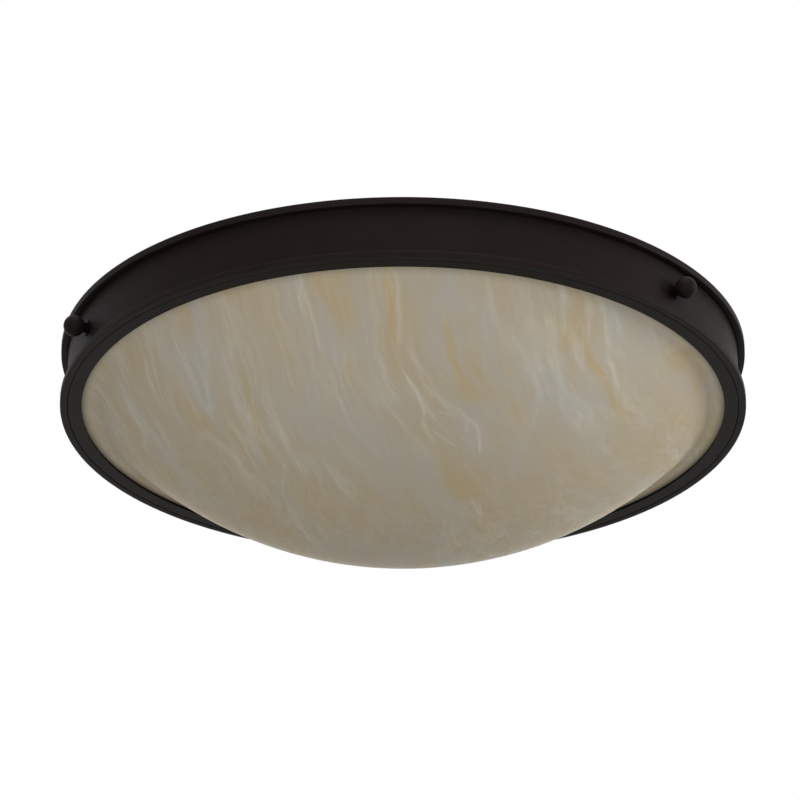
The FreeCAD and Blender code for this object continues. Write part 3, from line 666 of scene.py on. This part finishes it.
SHARP_ANGLE = 35.0


def smooth(mesh):
    """Shade smooth across all but the sharp edges."""
    mesh.shade_smooth()
    shape = bmesh.new()
    shape.from_mesh(mesh)
    limit = math.radians(SHARP_ANGLE)
    for edge in shape.edges:
        edge.smooth = len(edge.link_faces) == 2 and edge.calc_face_angle(0.0) < limit
    shape.to_mesh(mesh)
    shape.free()


def stand_piece(mesh, body, slot, *nodes, at=None):
    """Put a finished mesh in the scene, riding on its body in place of the named nodes."""
    if at is not None:
        mesh.transform(at)
    smooth(mesh)
    mesh.materials.clear()
    mesh.materials.append(finish_of(slot))
    piece = bpy.data.objects.new(mesh.name, mesh)
    bpy.context.scene.collection.objects.link(piece)
    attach(piece, body)
    if nodes:
        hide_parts(*nodes)
    return piece


def from_tree(name, tree, values):
    """Run a geometry tree on an empty mesh and keep the result as a plain mesh."""
    holder = bpy.data.objects.new(name, bpy.data.meshes.new(name))
    bpy.context.scene.collection.objects.link(holder)
    modifier = holder.modifiers.new("Shape", "NODES")
    modifier.node_group = tree
    for socket in tree.interface.items_tree:
        if socket.item_type == "SOCKET" and socket.in_out == "INPUT" and socket.name in values:
            modifier[socket.identifier] = values[socket.name]
    graph = bpy.context.evaluated_depsgraph_get()
    mesh = bpy.data.meshes.new_from_object(holder.evaluated_get(graph))
    holder.modifiers.clear()
    empty = holder.data
    bpy.data.objects.remove(holder)
    bpy.data.meshes.remove(empty)
    mesh.name = name
    return mesh


class Tree:
    """A geometry node tree with named inputs."""

    def __init__(self, name, inputs):
        self.group = bpy.data.node_groups.new(name, "GeometryNodeTree")
        kinds = {float: "NodeSocketFloat", int: "NodeSocketInt", "material": "NodeSocketMaterial"}
        for label, kind in inputs.items():
            self.group.interface.new_socket(label, in_out="INPUT", socket_type=kinds[kind])
        self.group.interface.new_socket("Geometry", in_out="OUTPUT", socket_type="NodeSocketGeometry")
        self.given = self.group.nodes.new("NodeGroupInput")

    def input(self, name):
        return self.given.outputs[name]

    def add(self, kind, settings=None, values=None):
        node = self.group.nodes.new(kind)
        for name, setting in (settings or {}).items():
            setattr(node, name, setting)
        for key, value in (values or {}).items():
            if isinstance(value, bpy.types.NodeSocket):
                self.group.links.new(value, node.inputs[key])
            else:
                node.inputs[key].default_value = value
        return node.outputs[0]

    def finish(self, geometry):
        real = self.add("GeometryNodeRealizeInstances", None, {0: geometry})
        dressed = self.add("GeometryNodeSetMaterial", None,
                           {"Geometry": real, "Material": self.input("Material")})
        result = self.group.nodes.new("NodeGroupOutput")
        self.group.links.new(dressed, result.inputs[0])
        return self.group


def hoop_tree():
    """A square bar with softened edges, swept round a circle."""
    inputs = {"Radius": float, "Bar": float, "Edge Round": float, "Height": float, "Steps": int,
              "Material": "material"}
    tree = Tree("Swept Hoop", inputs)
    path = tree.add("GeometryNodeCurvePrimitiveCircle", None,
                    {"Resolution": tree.input("Steps"), "Radius": tree.input("Radius")})
    bar = tree.add("GeometryNodeCurvePrimitiveQuadrilateral", None,
                   {"Width": tree.input("Bar"), "Height": tree.input("Bar")})
    soft = tree.add("GeometryNodeFilletCurve", {"mode": "POLY"},
                    {"Curve": bar, "Radius": tree.input("Edge Round"), "Count": 4})
    swept = tree.add("GeometryNodeCurveToMesh", None, {"Curve": path, "Profile Curve": soft})
    lift = tree.add("ShaderNodeCombineXYZ", None, {"Z": tree.input("Height")})
    placed = tree.add("GeometryNodeTransform", None, {"Geometry": swept, "Translation": lift})
    return tree.finish(placed)


def thread_tree():
    """A fine V thread: a small four-sided wire wound up a cylinder along +Z."""
    inputs = {"Radius": float, "Pitch": float, "Turns": float, "Depth": float, "Steps": int,
              "Material": "material"}
    tree = Tree("Wound Thread", inputs)
    rise = tree.add("ShaderNodeMath", {"operation": "MULTIPLY"},
                    {0: tree.input("Pitch"), 1: tree.input("Turns")})
    path = tree.add("GeometryNodeCurveSpiral", None, {
        "Resolution": tree.input("Steps"), "Rotations": tree.input("Turns"),
        "Start Radius": tree.input("Radius"), "End Radius": tree.input("Radius"), "Height": rise})
    wire = tree.add("GeometryNodeCurvePrimitiveCircle", None,
                    {"Resolution": 4, "Radius": tree.input("Depth")})
    swept = tree.add("GeometryNodeCurveToMesh", None,
                     {"Curve": path, "Profile Curve": wire, "Fill Caps": True})
    return tree.finish(swept)


def knurl_tree():
    """Straight ridges set round a cylinder whose axis is Z."""
    inputs = {"Radius": float, "Length": float, "Ridge": float, "Start": float, "Count": int,
              "Material": "material"}
    tree = Tree("Straight Knurl", inputs)
    ring = tree.add("GeometryNodeMeshCircle", None,
                    {"Vertices": tree.input("Count"), "Radius": tree.input("Radius")})
    place = tree.add("GeometryNodeInputPosition")
    outward = tree.add("FunctionNodeAlignRotationToVector", {"axis": "X"}, {"Vector": place})
    ridge = tree.add("GeometryNodeMeshCylinder", {"fill_type": "NGON"}, {
        "Vertices": 6, "Radius": tree.input("Ridge"), "Depth": tree.input("Length")})
    set_round = tree.add("GeometryNodeInstanceOnPoints", None, {
        "Points": ring, "Instance": ridge, "Rotation": outward})
    lift = tree.add("ShaderNodeCombineXYZ", None, {"Z": tree.input("Start")})
    placed = tree.add("GeometryNodeTransform", None, {"Geometry": set_round, "Translation": lift})
    return tree.finish(placed)


# --------------------------------------------------------------------- operators
class CEILINGLIGHT_OT_finishes(bpy.types.Operator):
    """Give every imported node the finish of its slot"""

    bl_idname = "ceiling_light.finishes"
    bl_label = "Finish Packed Pieces"

    def execute(self, context):
        slots = {s["node"]: s["material_slot"] for s in frame["record"]["subparts"]}
        for name, node in frame["nodes"].items():
            node.data.materials.clear()
            node.data.materials.append(finish_of(slots[name]))
        return {"FINISHED"}


class CEILINGLIGHT_OT_hoops(bpy.types.Operator):
    """Sweep the two square-bar hoops round the band"""

    bl_idname = "ceiling_light.hoops"
    bl_label = "Add Hoops"

    def execute(self, context):
        tree = hoop_tree()
        for node, box in (("lower_hoop", LOWER_HOOP), ("upper_hoop", UPPER_HOOP)):
            values = {
                "Radius": RING_RADIUS - BAR / 2, "Bar": BAR, "Edge Round": sizes().hoop_softness,
                "Height": middle(box).z, "Steps": sizes().round_steps, "Material": finish_of("bronze")}
            mesh = from_tree(node + "_bar", tree, values)
            stand_piece(mesh, "frame", "bronze", node)
        return {"FINISHED"}


BOWL_WALL = 0.003
BOWL_SHOULDER = 0.0165
NECK_ROUND = 0.012


def bowl_outline():
    """Half section of the bowl, from the lowest point outward, over the lip and back inside."""
    low = BOWL[0][2]
    lip_low = BOWL[1][2] - BOWL_WALL
    lip_edge = outer_radius(BOWL)
    rise = lip_low - low
    neck = lip_edge - BOWL_SHOULDER
    dome = (neck ** 2 + rise ** 2) / (2 * rise) - NECK_ROUND
    centre = (0, low + dome)
    turn = (neck, lip_low - NECK_ROUND)
    meet = math.degrees(math.atan2(turn[1] - centre[1], neck))
    half = BOWL_WALL / 2
    outline = [(0, low)] + arc(centre, dome, -90, meet, 72)[1:]
    outline += arc(turn, NECK_ROUND, 180 + meet, 90, 10)[1:]
    outline += arc((lip_edge - half, lip_low + half), half, -90, 90, 10)
    outline += arc(turn, NECK_ROUND + BOWL_WALL, 90, 180 + meet, 10)
    outline += arc(centre, dome - BOWL_WALL, meet, -90, 56)[1:-1] + [(0, low + BOWL_WALL)]
    return outline


class CEILINGLIGHT_OT_bowl(bpy.types.Operator):
    """Turn the bowl diffuser: dome, flared neck and lip in one even wall"""

    bl_idname = "ceiling_light.bowl"
    bl_label = "Add Bowl"

    def execute(self, context):
        outline = bowl_outline()
        mesh = lathe("bowl_shell", outline, sizes().round_steps)
        stand_piece(mesh, "bowl", "alabaster", "bowl_diffuser")
        return {"FINISHED"}


KNOB_BALL = 0.009525
KNOB_COLLAR = 0.0045
KNOB_BORE = 0.00245
STUD_DEPTH = 0.0082
STUD_RADIUS = 0.0024
STUD_LEAD = 0.0006
THREAD_SHORT = 0.001
WASHER_BORE = 0.00255
WASHER_RADIUS = 0.007
WASHER_EDGE = 0.0002


def knob_outline(foot, tip):
    """Half section of a ball knob: softened collar, small fillet, ball, and the stud's hole."""
    centre = tip - KNOB_BALL
    edge = 0.0004
    fillet = 0.0012
    gap = math.sqrt((KNOB_BALL + fillet) ** 2 - (KNOB_COLLAR + fillet) ** 2)
    turn = (KNOB_COLLAR + fillet, centre - gap)
    meet = math.degrees(math.atan2(gap, -turn[0]))
    outline = [(KNOB_BORE, foot)]
    outline += arc((KNOB_COLLAR - edge, foot + edge), edge, -90, 0, 4)
    outline += arc(turn, fillet, 180, meet, 6)
    outline += arc((0, centre), KNOB_BALL, meet - 180, 90, 40)[1:-1] + [(0, tip)]
    return outline + [(0, foot + STUD_DEPTH), (KNOB_BORE, foot + STUD_DEPTH)]


class CEILINGLIGHT_OT_knobs(bpy.types.Operator):
    """Turn the three ball knobs and their washers, and thread their studs"""

    bl_idname = "ceiling_light.knobs"
    bl_label = "Add Knobs"

    def execute(self, context):
        thread = thread_tree()
        steps = sizes().knob_steps
        for number, angle in enumerate(KNOB_ANGLES, start=1):
            way = outward(angle) @ UP
            height = Matrix.Translation((0, 0, middle(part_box(f"knob_{number}")).z))
            lay = height @ outward(angle)
            foot, tip = reach(f"knob_{number}", way)
            ball = lathe(f"ball_knob_{number}", knob_outline(foot, tip), steps)
            stand_piece(ball, f"knob_{number}_body", "bronze", f"knob_{number}", at=lay)
            low, high = reach(f"knob_washer_{number}", way)
            corners = [(WASHER_BORE, low), (WASHER_RADIUS, low), (WASHER_RADIUS, high), (WASHER_BORE, high)]
            washer = lathe(f"washer_{number}", rounded(corners, WASHER_EDGE), steps)
            stand_piece(washer, f"knob_washer_{number}_body", "bronze", f"knob_washer_{number}", at=lay)
            start = reach(f"knob_stud_{number}", way)[0]
            pitch = sizes().thread_pitch
            turns = (foot - start - THREAD_SHORT) / pitch
            values = {"Radius": STUD_RADIUS - pitch / 4, "Pitch": pitch, "Turns": turns,
                      "Depth": pitch * 0.3, "Steps": 40, "Material": finish_of("zinc")}
            wound = from_tree(f"stud_thread_{number}", thread, values)
            rise = Matrix.Translation((0, 0, start + STUD_LEAD))
            stand_piece(wound, f"knob_{number}_body", "zinc", at=lay @ rise)
        return {"FINISHED"}


NIPPLE_PITCH = 0.00094
KNURL_LENGTH = 0.0050
KNURL_END = 0.0009
KNURL_DROP = 0.0005
KNURL_RIDGE = 0.00025
SCREW_RADIUS = 0.00195


def thumb_outline(tip, end, head):
    """Half section of the slip ring's thumb screw: chamfered tip, shank and dished head."""
    rim = head - KNURL_DROP
    start = end - KNURL_LENGTH - 2 * KNURL_END
    edge = 0.0006
    dish = 0.0005
    return [(0, tip), (SCREW_RADIUS - edge, tip), (SCREW_RADIUS, tip + edge), (SCREW_RADIUS, start),
            (rim - edge, start), (rim, start + edge), (rim, end - edge), (rim - edge, end),
            (rim - 0.0013, end), (rim - 0.0020, end - dish), (0, end - dish)]


class CEILINGLIGHT_OT_stem(bpy.types.Operator):
    """Thread the nipple's ends and knurl the slip ring's thumb screw"""

    bl_idname = "ceiling_light.stem"
    bl_label = "Add Stem Details"

    def execute(self, context):
        thread = thread_tree()
        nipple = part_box("threaded_nipple")
        radius = outer_radius(nipple)
        pitch = NIPPLE_PITCH
        ends = {"nipple_thread_low": (nipple[0][2] + pitch, 8),
                "nipple_thread_high": (nipple[1][2] - 3 * pitch, 2)}
        for name, (start, turns) in ends.items():
            values = {"Radius": radius - pitch / 4, "Pitch": pitch, "Turns": float(turns),
                      "Depth": pitch * 0.25, "Steps": 48, "Material": finish_of("zinc")}
            wound = from_tree(name, thread, values)
            stand_piece(wound, "fixed", "zinc", at=Matrix.Translation((0, 0, start)))
        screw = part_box("slip_ring_screw")
        lay = Matrix.Translation((0, 0, middle(screw).z)) @ outward(0)
        head = (screw[1][2] - screw[0][2]) / 2
        values = {"Radius": head - KNURL_DROP, "Length": KNURL_LENGTH, "Ridge": KNURL_RIDGE,
                  "Start": screw[1][0] - KNURL_LENGTH / 2 - KNURL_END,
                  "Count": sizes().knurl_count, "Material": finish_of("bronze")}
        knurl = from_tree("thumb_screw_knurl", knurl_tree(), values)
        stand_piece(knurl, "thumb_screw", "bronze", at=lay)
        outline = thumb_outline(screw[0][0], screw[1][0], head)
        turned = lathe("thumb_screw_turned", outline, sizes().knob_steps)
        stand_piece(turned, "thumb_screw", "bronze", "slip_ring_screw", at=lay)
        return {"FINISHED"}


FLOOR_HEIGHT = -9.0
FLOOR_HALF = 80.0
FLOOR_LIFT = 0.9
LENS = 286.0
CAMERA_PLACE = (0, -5.0888, -2.6045)
CAMERA_PITCH = 25.894
CAMERA_YAW = 0.030
CAMERA_ROLL = 0.056


WORLD_LIGHT = 0.328
# place, size and power of each soft light
STUDIO_LIGHTS = {
    "front": ((0.0, -3.38, -1.38), 1.8, 36.5),
    "right": ((3.59, 0.0, 0.17), 1.2, 47.0),
    "high": ((0.2, -1.6, 2.8), 2.4, 60.0),
    "back": ((0.0, 4.2, 1.7), 2.2, 45.0),
}


def pale_floor(shader):
    """Matt pale floor, lifted towards white for the camera and in reflections."""
    white = shader.add("ShaderNodeEmission", None, {"Color": (1.0, 1.0, 1.0, 1.0), "Strength": 1.0})
    surface = Value(shader, shader.surface.outputs[0])
    share = shader.plainly_seen() * FLOOR_LIFT
    both = shader.add("ShaderNodeMixShader", None, (share, surface, white))
    shader.plug(shader.tree.nodes["Material Output"].inputs["Surface"], both)
    return shader.finish(Base_Color=(0.8, 0.8, 0.8), Roughness=0.9)


def add_floor():
    """A level floor, far enough below for a camera under the light."""
    mesh = bpy.data.meshes.new("floor")
    half = FLOOR_HALF
    corners = [(-half, -half), (half, -half), (half, half), (-half, half)]
    mesh.from_pydata([(x, y, FLOOR_HEIGHT) for x, y in corners], [], [(0, 1, 2, 3)])
    floor = bpy.data.objects.new("floor", mesh)
    bpy.context.scene.collection.objects.link(floor)
    mesh.materials.append(pale_floor(Shader("pale_floor")))


def add_world():
    """Even grey light on the object, and plain white behind it and in its reflections."""
    shader = WorldShader("studio")
    white = (1.0, 1.0, 1.0, 1.0)
    soft = shader.add("ShaderNodeBackground", None, {"Color": white, "Strength": WORLD_LIGHT})
    plain = shader.add("ShaderNodeBackground", None, {"Color": white, "Strength": 1.0})
    mixed = shader.add("ShaderNodeMixShader", None, (shader.plainly_seen(), soft, plain))
    shader.add_output("ShaderNodeOutputWorld", mixed)
    bpy.context.scene.world = shader.world


def add_lights():
    """Soft square lights, all turned to the frame."""
    target = Vector((0, 0, RING_BOTTOM))
    for name, (spot, size, power) in STUDIO_LIGHTS.items():
        data = bpy.data.lights.new(name, "AREA")
        data.size = size
        data.energy = power
        lamp = bpy.data.objects.new(name, data)
        lamp.location = spot
        lamp.rotation_euler = (target - Vector(spot)).to_track_quat("-Z", "Y").to_euler()
        bpy.context.scene.collection.objects.link(lamp)


def add_camera():
    """The photograph's viewpoint: from below, on the -Y side, with a long lens."""
    data = bpy.data.cameras.new("camera")
    data.lens = LENS
    data.clip_end = 300.0
    camera = bpy.data.objects.new("camera", data)
    turns = ((CAMERA_YAW, "Z"), (90 + CAMERA_PITCH, "X"), (CAMERA_ROLL, "Z"))
    stand = Matrix.Translation(CAMERA_PLACE)
    for angle, axis in turns:
        stand = stand @ Matrix.Rotation(math.radians(angle), 4, axis)
    camera.matrix_world = stand
    bpy.context.scene.collection.objects.link(camera)
    bpy.context.scene.camera = camera


class CEILINGLIGHT_OT_stage(bpy.types.Operator):
    """Set up the floor, the soft lights and the camera of the photograph"""

    bl_idname = "ceiling_light.stage"
    bl_label = "Add Stage"

    def execute(self, context):
        add_floor()
        add_world()
        add_lights()
        add_camera()
        context.scene.view_settings.view_transform = "Standard"
        return {"FINISHED"}


class CEILINGLIGHT_PT_panel(bpy.types.Panel):
    """Sizes, colours and steps of the ceiling light"""

    bl_label = "Ceiling Light"
    bl_idname = "CEILINGLIGHT_PT_panel"
    bl_space_type = "VIEW_3D"
    bl_region_type = "UI"
    bl_category = "Ceiling Light"

    def draw(self, context):
        for group in (context.scene.light_sizes, context.scene.light_colours):
            box = self.layout.box()
            for name in group.__annotations__:
                box.prop(group, name)
        for operator in STEPS:
            self.layout.operator(operator.bl_idname)


STEPS = (
    CEILINGLIGHT_OT_finishes,
    CEILINGLIGHT_OT_hoops,
    CEILINGLIGHT_OT_bowl,
    CEILINGLIGHT_OT_knobs,
    CEILINGLIGHT_OT_stem,
    CEILINGLIGHT_OT_stage,
)
CLASSES = (LightSizes, LightColours, *STEPS, CEILINGLIGHT_PT_panel)


def register():
    for cls in CLASSES:
        bpy.utils.register_class(cls)
    bpy.types.Scene.light_sizes = PointerProperty(type=LightSizes)
    bpy.types.Scene.light_colours = PointerProperty(type=LightColours)


def unregister():
    del bpy.types.Scene.light_colours
    del bpy.types.Scene.light_sizes
    for cls in reversed(CLASSES):
        bpy.utils.unregister_class(cls)


def main():
    register()
    for operator in STEPS:
        space, name = operator.bl_idname.split(".")
        getattr(getattr(bpy.ops, space), name)()


if __name__ == "__main__":
    main()
